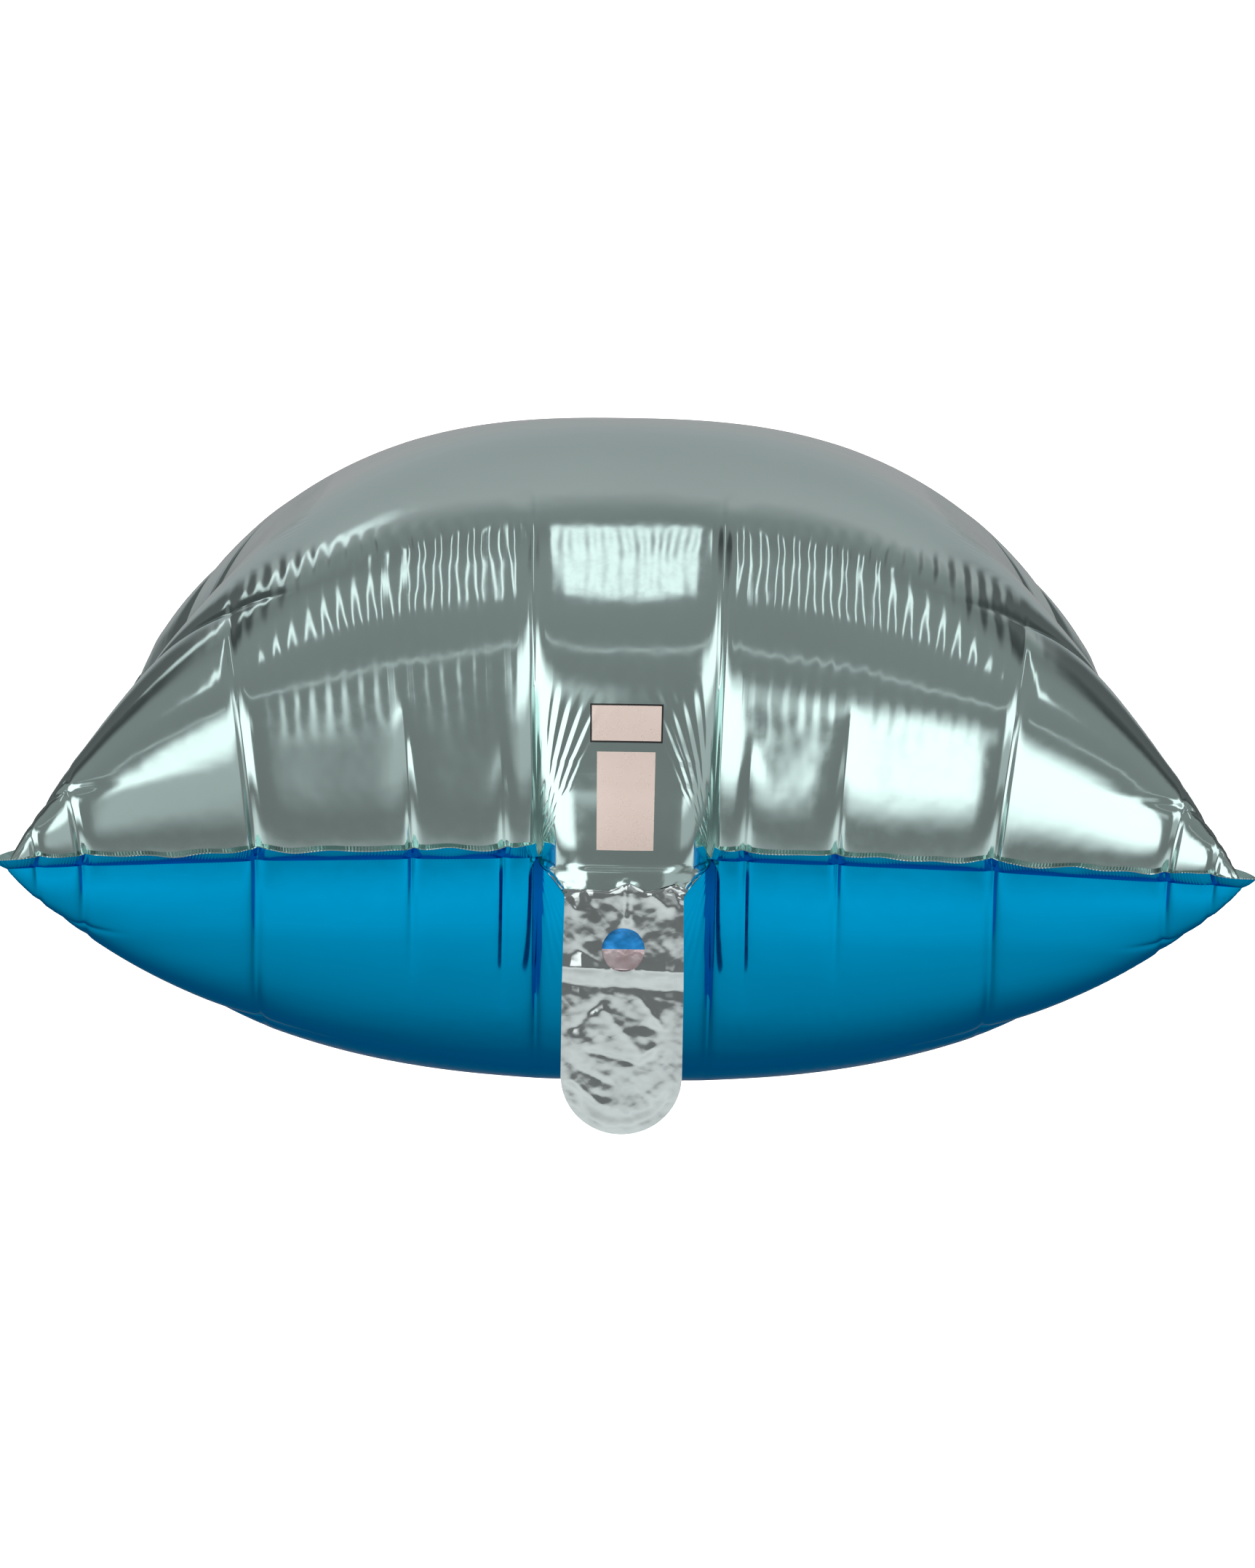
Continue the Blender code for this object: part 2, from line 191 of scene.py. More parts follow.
CRUMPLE_SEED = Vector((3.1, 7.7, 1.9))


def deselect():
    bpy.ops.object.select_all(action="DESELECT")


def make_active(piece):
    deselect()
    piece.select_set(True)
    bpy.context.view_layer.objects.active = piece


def apply_modifier(piece, kind, **settings):
    modifier = piece.modifiers.new(kind.lower(), kind)
    for name, value in settings.items():
        setattr(modifier, name, value)
    make_active(piece)
    bpy.ops.object.modifier_apply(modifier=modifier.name)


def get_points(mesh):
    values = np.empty(len(mesh.vertices) * 3, np.float32)
    mesh.vertices.foreach_get("co", values)
    return values.reshape(-1, 3).astype(float)


def set_points(mesh, points):
    mesh.vertices.foreach_set("co", np.asarray(points, np.float32).ravel())
    mesh.update()


def lattice_sheet(name, columns, rows):
    """Flat grid of unit cells, and the column and row of each of its points."""
    deselect()
    bpy.ops.mesh.primitive_grid_add(x_subdivisions=columns, y_subdivisions=rows, size=1.0)
    piece = bpy.context.active_object
    piece.name = name
    piece.data.name = name
    grid = get_points(piece.data)
    column = np.rint((grid[:, 0] + 0.5) * columns).astype(int)
    row = np.rint((grid[:, 1] + 0.5) * rows).astype(int)
    return piece, column, row


def smooth_step(value):
    value = np.clip(value, 0.0, 1.0)
    return value * value * (3 - 2 * value)


def seam_half(across):
    """Half width of the seam's outline at a relative place across it."""
    return MID_EDGE + (CORNER - MID_EDGE) * np.abs(across) ** EDGE_POWER


def bulge(u, v, height):
    """Smooth inflated form of one film: u and v run from -1 to 1 between opposite seams."""
    crown = ((1 - np.abs(u) ** BULGE_POWER) * (1 - np.abs(v) ** BULGE_POWER)) ** BULGE_ROOT
    fill = 1 + CORNER_FILL * (u * v) ** 2 + CORNER_EASE * (u * v) ** 4
    lift = CORNER_LIFT * (u * v) ** 2
    return np.stack([u * seam_half(v), v * seam_half(u), height * crown * fill + lift], axis=-1)


def cut_lines(places):
    """Lattice lines of the cut film in one direction: close beside the folds, PITCH apart elsewhere."""
    stops = {0.0, FLAT_HALF}
    for place in places:
        stops |= {round(abs(place + step), 5) for step in FOLD_STEPS}
    stops = sorted(stops | {-value for value in stops})
    lines = [stops[0]]
    for start, end in zip(stops, stops[1:]):
        count = max(1, math.ceil((end - start) / PITCH))
        lines.extend(np.linspace(start, end, count + 1)[1:])
    return np.array(lines)


ACROSS_LINES = cut_lines([row[0] for row in NEAR_PUCKERS])
AWAY_LINES = cut_lines([row[0] for row in OTHER_PUCKERS])


def even_film(height):
    """Lattice of the smooth form, its points spaced along the film as on the cut sheet."""
    fine = np.linspace(-1, 1, EVEN_STEPS + 1)
    u, v = np.meshgrid(fine, fine, indexing="ij")
    for axis, place in ((1, v), (0, u)) * EVEN_ROUNDS:
        steps = np.linalg.norm(np.diff(bulge(u, v, height), axis=axis), axis=-1)
        run = np.cumsum(steps, axis=axis)
        for k in range(EVEN_STEPS + 1):
            line = (slice(None), k) if axis == 0 else (k, slice(None))
            part = np.concatenate([[0.0], run[line]])
            place[line] = np.interp(fine, 2 * part / part[-1] - 1, place[line])
    sampled = []
    for place in (u, v):
        columns = np.array([np.interp(ACROSS_LINES / FLAT_HALF, fine, line) for line in place.T]).T
        sampled.append(np.array([np.interp(AWAY_LINES / FLAT_HALF, fine, line) for line in columns]))
    return bulge(*sampled, height)


def pucker_height(along, inward, puckers, printed):
    """Height over the smooth form near one seam side: valleys at the puckers, swells between."""
    along = np.abs(along)
    height = np.zeros_like(along)
    for place, depth, half_width, *reaches in puckers:
        fade = np.clip(1 - inward / reaches[0 if printed else 1], 0, 1) ** 0.8
        off = np.abs(along - place)
        height -= depth * fade * (np.exp(-off / half_width) + FOLD_DEPTH * np.exp(-off / FOLD_HALF))
    stops = [row[0] for row in puckers if row[3] > LOBE_PARTER] + [FLAT_HALF]
    if stops[0] > 0:
        stops.insert(0, -stops[0])
    for start, end in zip(stops, stops[1:]):
        part = np.clip((along - start) / (end - start), 0, 1)
        share = NECK_LOBE_SHARE if start < 0 else LOBE_SHARE
        swell = share * (end - start) * (np.sin(np.pi * part) ** 0.8 - LOBE_LEVEL)
        swell *= smooth_step(1 - inward / LOBE_REACH) * smooth_step((FLAT_HALF - along) / CORNER_CALM)
        height += np.where((along >= start) & (along < end), swell, 0)
    return height


EDGES = (np.s_[0], np.s_[-1], np.s_[:, 0], np.s_[:, -1])


def puckered_film(height):
    points = even_film(height)
    normal = np.cross(np.gradient(points, ACROSS_LINES, axis=0), np.gradient(points, AWAY_LINES, axis=1))
    normal *= math.copysign(1, height)
    for edge in EDGES:
        normal[edge][..., 2] = 0.0
    normal /= np.linalg.norm(normal, axis=-1, keepdims=True)
    across, away = np.meshgrid(ACROSS_LINES, AWAY_LINES, indexing="ij")
    rise = np.zeros_like(across)
    for along, inward, puckers in (
        (across, away + FLAT_HALF, NEAR_PUCKERS), (across, FLAT_HALF - away, OTHER_PUCKERS),
        (away, across + FLAT_HALF, OTHER_PUCKERS), (away, FLAT_HALF - across, OTHER_PUCKERS),
    ):
        rise += pucker_height(along, inward, puckers, height > 0)
    points += normal * rise[..., None]
    far = smooth_step(away / FLAT_HALF * 3 - 2) * smooth_step(np.abs(across) / FLAT_HALF * 3 - 2)
    points[..., 2] -= FAR_DROOP * far
    return points


def start_films():
    """Both films on the cloth's lattice, meeting in one seam line."""
    top, under = puckered_film(TOP_HEIGHT), puckered_film(-BOTTOM_DEPTH)
    for edge in EDGES:
        middle = (top[edge] + under[edge]) / 2
        top[edge] = middle
        under[edge] = middle
    return top, under


def film_part(name, lattice, turned):
    """One film: a flat grid that remembers its cut places, moved to the inflated form."""
    columns, rows = lattice.shape[0] - 1, lattice.shape[1] - 1
    flat = np.stack(np.meshgrid(ACROSS_LINES, AWAY_LINES, [0.0], indexing="ij"), -1)[:, :, 0]
    piece, column, row = lattice_sheet(name, columns, rows)
    set_points(piece.data, lattice[column, row])
    set_cut(piece.data, flat[column, row])
    if turned:
        piece.data.flip_normals()
    return piece


def set_cut(mesh, places):
    """Remember each point's place on the cut film."""
    cut = mesh.attributes.new("cut", "FLOAT_VECTOR", "POINT")
    cut.data.foreach_set("vector", np.asarray(places, np.float32).ravel())


def get_cut(mesh):
    values = np.empty(len(mesh.vertices) * 3, np.float32)
    mesh.attributes["cut"].data.foreach_get("vector", values)
    return values.reshape(-1, 3).astype(float)


def joined_films():
    """Mint and blue films merged along the seam."""
    top, under = start_films()
    mint = film_part("mint_skin", top, False)
    blue = film_part("blue_skin", under, True)
    make_active(mint)
    blue.select_set(True)
    bpy.ops.object.join()
    bpy.ops.object.mode_set(mode="EDIT")
    bpy.ops.mesh.select_all(action="SELECT")
    bpy.ops.mesh.remove_doubles(threshold=1e-5)
    bpy.ops.object.mode_set(mode="OBJECT")
    return mint


def relax(piece):
    """Cloth under pressure, cut to the flat films, from the puckered form to rest."""
    piece.shape_key_add(name="inflated")
    flat = piece.shape_key_add(name="flat")
    flat.data.foreach_set("co", get_cut(piece.data).astype(np.float32).ravel())
    flat.value = 0.0
    cloth = piece.modifiers.new("film", "CLOTH")
    cloth.point_cache.frame_start = 1
    cloth.point_cache.frame_end = SETTLE_FRAMES
    cloth.collision_settings.use_collision = False
    film = cloth.settings
    film.rest_shape_key = flat
    film.quality = 8
    film.mass = 0.02
    film.tension_stiffness = 80
    film.compression_stiffness = 80
    film.shear_stiffness = 40
    film.bending_stiffness = 0.1
    film.bending_damping = 0.5
    film.use_pressure = True
    film.uniform_pressure_force = 20
    film.effector_weights.gravity = 0
    for number in range(1, SETTLE_FRAMES + 1):
        bpy.context.scene.frame_set(number)
    graph = bpy.context.evaluated_depsgraph_get()
    settled = get_points(piece.evaluated_get(graph).data)
    piece.modifiers.clear()
    piece.shape_key_clear()
    set_points(piece.data, settled)


def split_films(piece):
    """Separate the relaxed mesh into the two films, the printed one's faces being the first half."""
    count = len(piece.data.polygons)
    names = ("mint_skin", "blue_skin")
    for name in names:
        piece.data.materials.append(bpy.data.materials.new(name))
    part = (np.arange(count) >= count // 2).astype(np.int32)
    piece.data.polygons.foreach_set("material_index", part)
    make_active(piece)
    bpy.ops.mesh.separate(type="MATERIAL")
    found = {item.data.materials[item.data.polygons[0].material_index].name: item
             for item in bpy.context.selected_objects}
    for name, item in found.items():
        item.name = name + "_piece"
    for name, item in found.items():
        item.data.materials.clear()
        item.name = name
        item.data.name = name
    for name in names:
        bpy.data.materials.remove(bpy.data.materials[name])
    return found


MARGINS = (("near_left", "near", -FLAT_HALF, -NECK_FLAT), ("near_right", "near", NECK_FLAT, FLAT_HALF),
           ("left", "left", -FLAT_HALF, FLAT_HALF), ("right", "right", -FLAT_HALF, FLAT_HALF),
           ("far", "far", -FLAT_HALF, FLAT_HALF))
# Axis along each side, axis across it and which way is out
SIDES = {"near": (0, 1, -1), "far": (0, 1, 1), "left": (1, 0, -1), "right": (1, 0, 1)}


def seam_line(mesh, side):
    """Places along one side of the cut seam and the relaxed points there, in order."""
    cut, points = get_cut(mesh), get_points(mesh)
    along, across, sign = SIDES[side]
    on_side = np.flatnonzero(cut[:, across] * sign > FLAT_HALF - 1e-6)
    order = on_side[np.argsort(cut[on_side, along])]
    return cut[order, along], points[order]


def smoothed(values, reach):
    """Moving average along a line, its ends kept."""
    padded = np.pad(values, ((reach, reach), (0, 0)), mode="reflect", reflect_type="odd")
    window = np.ones(2 * reach + 1) / (2 * reach + 1)
    return np.stack([np.convolve(padded[:, k], window, mode="valid") for k in range(3)], -1)


def grow_margin(skin, name, side, start, end):
    """Strip of sealed margin along part of the seam, tilted up and pinched where a fold gathers it."""
    place, line = seam_line(skin.data, side)
    axis, across, sign = SIDES[side]
    tangent = np.gradient(smoothed(line, 9), place, axis=0)
    level = np.zeros_like(line)
    level[:, across] = np.abs(tangent[:, axis]) * sign
    level[:, axis] = -tangent[:, across] * sign
    level /= np.linalg.norm(level, axis=-1, keepdims=True)
    corner = np.zeros_like(line)
    corner[:, across], corner[:, axis] = sign, np.sign(place)
    nearness = smooth_step(1 - (FLAT_HALF - np.abs(place)) / 0.012)[:, None]
    level = level * (1 - nearness) + corner / math.sqrt(2) * 1.25 * nearness
    puckers = NEAR_PUCKERS if side == "near" else OTHER_PUCKERS
    pinch = sum(np.exp(-np.abs(np.abs(place) - row[0]) / 0.005) * row[1] / 0.005 for row in puckers)
    wander = np.array([noise.noise(Vector((value * 70, sign * 5.0 + axis, 0.0))) for value in place])
    tilt = MARGIN_TILT + MARGIN_PINCH * np.clip(pinch, 0, 1) + wander * 0.30
    tilt *= 1 - smooth_step(line[:, 1] / FLAT_HALF * 4 - 2.6)
    keep = (place > start - 1e-6) & (place < end + 1e-6)
    place, line, level, tilt = place[keep], line[keep], level[keep], tilt[keep, None]
    out = np.linspace(0, MARGIN_WIDTH, MARGIN_ROWS + 1)
    curl = np.sin(np.linspace(0, 1, MARGIN_ROWS + 1) * math.pi) * 0.0004
    run = level * np.cos(tilt) + np.array([0, 0, 1.0]) * np.sin(tilt)
    grid = line[:, None] + run[:, None] * out[None, :, None] - np.array([0, 0, 1.0]) * curl[None, :, None]
    flat = np.zeros_like(grid)
    flat[..., axis] = place[:, None]
    flat[..., across] = (FLAT_HALF + out)[None] * sign
    piece, column, row = lattice_sheet("rim_" + name, len(place) - 1, MARGIN_ROWS)
    set_points(piece.data, grid[column, row])
    set_cut(piece.data, flat[column, row])
    return piece


def film_uv(mesh):
    """UV map in metres from the flat cut, in place of the grid's own."""
    corners = np.empty(len(mesh.loops), np.int32)
    mesh.loops.foreach_get("vertex_index", corners)
    while mesh.uv_layers:
        mesh.uv_layers.remove(mesh.uv_layers[0])
    layer = mesh.uv_layers.new(name="film")
    layer.data.foreach_set("uv", get_cut(mesh)[corners][:, :2].astype(np.float32).ravel())


def point_outward(piece, direction=None):
    """Turn an open sheet's faces away from the origin, or along a direction."""
    mesh = piece.data
    normals = np.empty(len(mesh.polygons) * 3, np.float32)
    mesh.polygons.foreach_get("normal", normals)
    normals = normals.reshape(-1, 3)
    centres = np.empty(len(mesh.polygons) * 3, np.float32)
    mesh.polygons.foreach_get("center", centres)
    target = centres.reshape(-1, 3) if direction is None else np.array(direction)
    if (normals * target).sum() < 0:
        mesh.flip_normals()


def thicken(piece, thickness, offset=-1.0, inner_slot=0):
    apply_modifier(piece, "SOLIDIFY", thickness=thickness, offset=offset, use_quality_normals=False,
                   material_offset=inner_slot)
    piece.data.set_sharp_from_angle(angle=math.radians(60))


def finish_skin(piece, material, direction=None, thickness=FILM_THICK, offset=-1.0):
    film_uv(piece.data)
    point_outward(piece, direction)
    piece.data.materials.append(material)
    piece.data.shade_smooth()
    thicken(piece, thickness, offset)
    piece.data.attributes.remove(piece.data.attributes["cut"])
    return piece


# Shader building


def new_material(name, colour, roughness, metallic=1.0, edge=None, coat=0.0):
    material = bpy.data.materials.new(name)
    material.use_nodes = True
    shader = material.node_tree.nodes["Principled BSDF"]
    shader.inputs["Base Color"].default_value = (*colour, 1)
    shader.inputs["Roughness"].default_value = roughness
    shader.inputs["Metallic"].default_value = metallic
    if edge:
        shader.inputs["Specular Tint"].default_value = (*edge, 1)
    shader.inputs["Coat Weight"].default_value = coat
    return material


class Graph:
    """Short calls that add and link nodes of one tree."""

    def __init__(self, tree):
        self.tree = tree

    def node(self, kind, **settings):
        item = self.tree.nodes.new(kind)
        for name, value in settings.items():
            setattr(item, name, value)
        return item

    def feed(self, socket, value):
        if isinstance(value, bpy.types.NodeSocket):
            self.tree.links.new(value, socket)
        elif value is not None:
            socket.default_value = value

    def math(self, operation, *values):
        item = self.node("ShaderNodeMath", operation=operation)
        for socket, value in zip(item.inputs, values):
            self.feed(socket, value)
        return item.outputs[0]

    def ramp(self, value, start, end, low=0.0, high=1.0):
        item = self.node("ShaderNodeMapRange", interpolation_type="SMOOTHSTEP")
        for socket, part in zip(item.inputs, (value, start, end, low, high)):
            self.feed(socket, part)
        return item.outputs[0]

    def noise(self, vector, scale, detail=2.0, rough=0.5):
        item = self.node("ShaderNodeTexNoise")
        self.feed(item.inputs["Vector"], vector)
        item.inputs["Scale"].default_value = scale
        item.inputs["Detail"].default_value = detail
        item.inputs["Roughness"].default_value = rough
        return item.outputs[0]

    def parts(self, vector):
        item = self.node("ShaderNodeSeparateXYZ")
        self.feed(item.inputs[0], vector)
        return item.outputs

    def mix_colour(self, share, first, second):
        item = self.node("ShaderNodeMix", data_type="RGBA")
        self.feed(item.inputs[0], share)
        self.feed(item.inputs[6], first)
        self.feed(item.inputs[7], second)
        return item.outputs[2]


def new_group(name, inputs, outputs):
    """Shader node group with float or vector inputs, given as (name, kind, default)."""
    tree = bpy.data.node_groups.new(name, "ShaderNodeTree")
    for label, kind, default in inputs:
        socket = tree.interface.new_socket(label, in_out="INPUT", socket_type=kind)
        if default is not None:
            socket.default_value = default
    for label, kind in outputs:
        tree.interface.new_socket(label, in_out="OUTPUT", socket_type=kind)
    graph = Graph(tree)
    return tree, graph, graph.node("NodeGroupInput").outputs, graph.node("NodeGroupOutput").inputs


FLOAT, VECTOR, COLOUR = "NodeSocketFloat", "NodeSocketVector", "NodeSocketColor"


def neck_fan(graph, place):
    """Folds that spread from each corner of the neck's opening, growing along their length."""
    side = graph.math("SUBTRACT", NECK_FLAT, graph.math("ABSOLUTE", place[0]))
    depth = graph.math("ADD", place[1], FLAT_HALF)
    turn = graph.math("ARCTAN2", side, depth)
    length = graph.math("SQRT", graph.math("ADD", graph.math("MULTIPLY", side, side),
                                           graph.math("MULTIPLY", depth, depth)))
    bend = graph.math("MULTIPLY", length, FAN_BEND)
    phase = graph.math("MULTIPLY", graph.math("ADD", turn, bend), 2 * math.pi / FAN_SPACING)
    wave = graph.math("SINE", phase)
    inside = graph.math("MULTIPLY", graph.ramp(turn, 0.03, 0.09), graph.ramp(turn, 0.50, 0.36))
    fade = graph.math("MULTIPLY", inside, graph.ramp(length, FAN_LENGTH, FAN_LENGTH * 0.55))
    rise = graph.math("MULTIPLY", length, FAN_RISE)
    return graph.math("MULTIPLY", graph.math("MULTIPLY", wave, fade), rise)


def ripple_group():
    """Height of the fine ripples that run in from the seams between the puckers, and the neck's fans."""
    inputs = (("Cut", VECTOR, None), ("Pitch", FLOAT, 0.0055), ("Wander", FLOAT, 0.006))
    tree, graph, given, made = new_group("seam_ripples", inputs, (("Height", FLOAT),))
    place = graph.parts(given["Cut"])
    wander = graph.noise(given["Cut"], 30.0)
    wander = graph.math("MULTIPLY", graph.math("SUBTRACT", wander, 0.5), given["Wander"])
    strength = graph.noise(given["Cut"], 18.0, 1.0)
    strength = graph.ramp(strength, 0.38, 0.62, 0.65, 1.0)
    calm = graph.ramp(graph.math("ABSOLUTE", place[0]), 0.026, 0.034, 0.16, 1.0)
    strength = graph.math("MULTIPLY", strength, calm)
    total = None
    for along, inward, reach in ((place[0], place[1], 0.150), (place[1], place[0], 0.100)):
        turn = graph.math("DIVIDE", graph.math("ADD", along, wander), given["Pitch"])
        wave = graph.math("SINE", graph.math("MULTIPLY", turn, 2 * math.pi))
        depth = graph.math("SUBTRACT", FLAT_HALF, graph.math("ABSOLUTE", inward))
        rise = graph.ramp(depth, 0.034, 0.080)
        fall = graph.math("MULTIPLY", graph.ramp(depth, 0.098, 0.110, 1.0, 2.2),
                          graph.ramp(depth, 0.124, 0.112))
        corner = graph.ramp(graph.math("ABSOLUTE", along), reach, reach - 0.035)
        wave = graph.math("MULTIPLY", graph.math("MULTIPLY", wave, rise), fall)
        wave = graph.math("MULTIPLY", wave, corner)
        total = wave if total is None else graph.math("ADD", total, wave)
    total = graph.math("MULTIPLY", total, strength)
    graph.feed(made["Height"], graph.math("ADD", total, neck_fan(graph, place)))
    return tree


def handling_group():
    """Slow waviness left by handling, and the uneven roughness that goes with it."""
    inputs = (("Place", VECTOR, None), ("Scale", FLOAT, 1.0))
    tree, graph, given, made = new_group("handling", inputs, (("Height", FLOAT), ("Roughness", FLOAT)))
    place = graph.node("ShaderNodeVectorMath", operation="SCALE")
    graph.feed(place.inputs[0], given["Place"])
    graph.feed(place.inputs["Scale"], given["Scale"])
    graph.feed(made["Height"], graph.noise(place.outputs[0], 22.0, 3.0))
    scuff = graph.noise(place.outputs[0], 160.0, 4.0, 0.65)
    graph.feed(made["Roughness"], graph.ramp(scuff, 0.35, 0.70, 0.85, 1.30))
    return tree


def crimp_group():
    """Height of the sealing bar's teeth, fading in from the seam."""
    inputs = (("Cut", VECTOR, None), ("Pitch", FLOAT, 0.0012))
    tree, graph, given, made = new_group("crimp_teeth", inputs, (("Height", FLOAT),))
    place = graph.parts(given["Cut"])
    flat_x = graph.math("ABSOLUTE", place[0])
    flat_y = graph.math("ABSOLUTE", place[1])
    along = graph.math("MINIMUM", flat_x, flat_y)
    across = graph.math("MAXIMUM", flat_x, flat_y)
    tooth = graph.math("SINE", graph.math("MULTIPLY", graph.math("DIVIDE", along, given["Pitch"]),
                                          2 * math.pi))
    bar = graph.ramp(across, FLAT_HALF - 0.0008, FLAT_HALF + 0.0012)
    neck = graph.math("MULTIPLY", graph.math("LESS_THAN", flat_x, NECK_FLAT + 0.0005),
                      graph.math("LESS_THAN", place[1], 0.0))
    bar = graph.math("MULTIPLY", bar, graph.math("SUBTRACT", 1.0, neck))
    patchy = graph.ramp(graph.noise(given["Cut"], 60.0, 1.0), 0.35, 0.65, 0.2, 1.0)
    graph.feed(made["Height"], graph.math("MULTIPLY", graph.math("MULTIPLY", tooth, bar), patchy))
    return tree


GROUPS = {}


def use_group(graph, name, **values):
    item = graph.node("ShaderNodeGroup", node_tree=GROUPS[name])
    for label, value in values.items():
        graph.feed(item.inputs[label], value)
    return item.outputs


def stack_bumps(graph, shader, layers):
    """Bump nodes in a row, one for each (height, distance)."""
    normal = None
    for height, distance in layers:
        bump = graph.node("ShaderNodeBump")
        bump.inputs["Distance"].default_value = distance
        graph.feed(bump.inputs["Height"], height)
        if normal is not None:
            graph.feed(bump.inputs["Normal"], normal)
        normal = bump.outputs[0]
    graph.feed(shader.inputs["Normal"], normal)


def box_mask(graph, place, half_width, near, far):
    """One inside a rectangle of the flat film, measured in from the near seam."""
    side = graph.math("COMPARE", graph.math("ABSOLUTE", place[0]), 0.0, half_width)
    middle = (near + far) / 2 - FLAT_HALF
    depth = graph.math("COMPARE", place[1], middle, (far - near) / 2)
    return graph.math("MULTIPLY", side, depth)


def film_material(name, colour, roughness, edge, ripple, prints=False):
    material = new_material(name, colour, roughness, edge=edge)
    graph = Graph(material.node_tree)
    shader = material.node_tree.nodes["Principled BSDF"]
    cut = graph.node("ShaderNodeUVMap", uv_map="film").outputs[0]
    ripples = use_group(graph, "ripples", Cut=cut)
    handling = use_group(graph, "handling", Place=cut)
    crimp = use_group(graph, "crimp", Cut=cut)
    stack_bumps(graph, shader, ((handling["Height"], 0.0004), (ripples["Height"], ripple),
                                (crimp["Height"], 0.00004)))
    base_roughness = graph.math("MULTIPLY", handling["Roughness"], roughness)
    tint = graph.ramp(graph.noise(cut, 9.0, 2.0), 0.3, 0.7)
    darker = tuple(value * 0.93 for value in colour)
    base = graph.mix_colour(tint, (*colour, 1), (*darker, 1))
    if prints:
        place = graph.parts(cut)
        border = box_mask(graph, place, *UPPER_PRINT)
        inner = (UPPER_PRINT[0] - PRINT_LINE, UPPER_PRINT[1] + PRINT_LINE, UPPER_PRINT[2] - PRINT_LINE)
        pink = graph.math("MAXIMUM", box_mask(graph, place, *inner), box_mask(graph, place, *LOWER_PRINT))
        base = graph.mix_colour(border, base, (*PRINT_EDGE, 1))
        base = graph.mix_colour(pink, base, (*PRINT_PINK, 1))
        inked = graph.math("MAXIMUM", border, pink)
        base_roughness = graph.math("ADD", base_roughness, graph.math("MULTIPLY", inked, 0.18))
        metal = graph.math("SUBTRACT", 1.0, graph.math("MULTIPLY", inked, 0.55))
        graph.feed(shader.inputs["Metallic"], metal)
    graph.feed(shader.inputs["Base Color"], base)
    graph.feed(shader.inputs["Roughness"], base_roughness)
    return material


def tail_material(name, colour, roughness, edge=None):
    """Silver film of the neck and tail: crumples, weld lines and the valve's outline under it."""
    material = new_material(name, colour, roughness, edge=edge)
    graph = Graph(material.node_tree)
    shader = material.node_tree.nodes["Principled BSDF"]
    cut = graph.node("ShaderNodeUVMap", uv_map="film").outputs[0]
    place = graph.parts(cut)
    handling = use_group(graph, "handling", Place=cut, Scale=2.5)
    crumple = graph.node("ShaderNodeTexVoronoi", feature="F1")
    graph.feed(crumple.inputs["Vector"], cut)
    crumple.inputs["Scale"].default_value = 150.0
    fine = graph.noise(cut, 240.0, 2.0)
    layers = [(handling["Height"], 0.0010), (crumple.outputs[0], 0.00012), (fine, 0.00004)]
    side = graph.math("ABSOLUTE", place[0])
    weld = graph.math("COMPARE", side, TAIL_HALF - SEAL_WIDTH, 0.0003)
    arch_x = graph.math("DIVIDE", place[0], VALVE_HALF)
    arch_y = graph.math("DIVIDE", graph.math("SUBTRACT", VALVE_SPLIT, place[1]), VALVE_SPLIT - VALVE_TOP)
    radius = graph.math("SQRT", graph.math("ADD", graph.math("MULTIPLY", arch_x, arch_x),
                                           graph.math("MULTIPLY", arch_y, arch_y)))
    arch = graph.math("COMPARE", radius, 1.0, 0.028)
    above = graph.math("LESS_THAN", place[1], VALVE_SPLIT)
    arch = graph.math("MULTIPLY", arch, above)
    layers.append((graph.math("MAXIMUM", weld, arch), 0.0003))
    stack_bumps(graph, shader, layers)
    graph.feed(shader.inputs["Roughness"], graph.math("MULTIPLY", handling["Roughness"], roughness))
    darker = tuple(value * 0.92 for value in colour)
    tint = graph.ramp(graph.noise(cut, 70.0, 2.0), 0.35, 0.65)
    graph.feed(shader.inputs["Base Color"], graph.mix_colour(tint, (*colour, 1), (*darker, 1)))
    return material


def valve_material(name, colour, metallic):
    material = new_material(name, colour, 0.14, metallic=metallic, coat=0.5)
    graph = Graph(material.node_tree)
    shader = material.node_tree.nodes["Principled BSDF"]
    place = graph.node("ShaderNodeTexCoord").outputs["Object"]
    handling = use_group(graph, "handling", Place=place, Scale=4.0)
    fine = graph.noise(place, 320.0, 2.0)
    stack_bumps(graph, shader, ((handling["Height"], 0.0006), (fine, 0.00012)))
    graph.feed(shader.inputs["Roughness"], graph.math("MULTIPLY", handling["Roughness"], 0.14))
    brighter = tuple(min(1.0, value * 1.5 + 0.02) for value in colour)
    share = graph.ramp(graph.noise(place, 220.0, 1.0), 0.35, 0.7)
    graph.feed(shader.inputs["Base Color"], graph.mix_colour(share, (*colour, 1), (*brighter, 1)))
    return material


# Neck and tail


def fold_height(across, drop):
    """Height of the pressed folds at a place on the tail, in metres."""
    height = np.zeros_like(across)
    for (x0, d0), (x1, d1), size, half_width in TAIL_FOLDS:
        start = np.array([x0, d0]) / 1000
        run = np.array([x1, d1]) / 1000 - start
        length = np.hypot(*run)
        along = ((across - start[0]) * run[0] + (drop - start[1]) * run[1]) / length
        off = np.hypot(across - start[0] - run[0] * np.clip(along / length, 0, 1),
                       drop - start[1] - run[1] * np.clip(along / length, 0, 1))
        height += size / 1000 * np.exp(-off / (half_width / 1000))
    return height


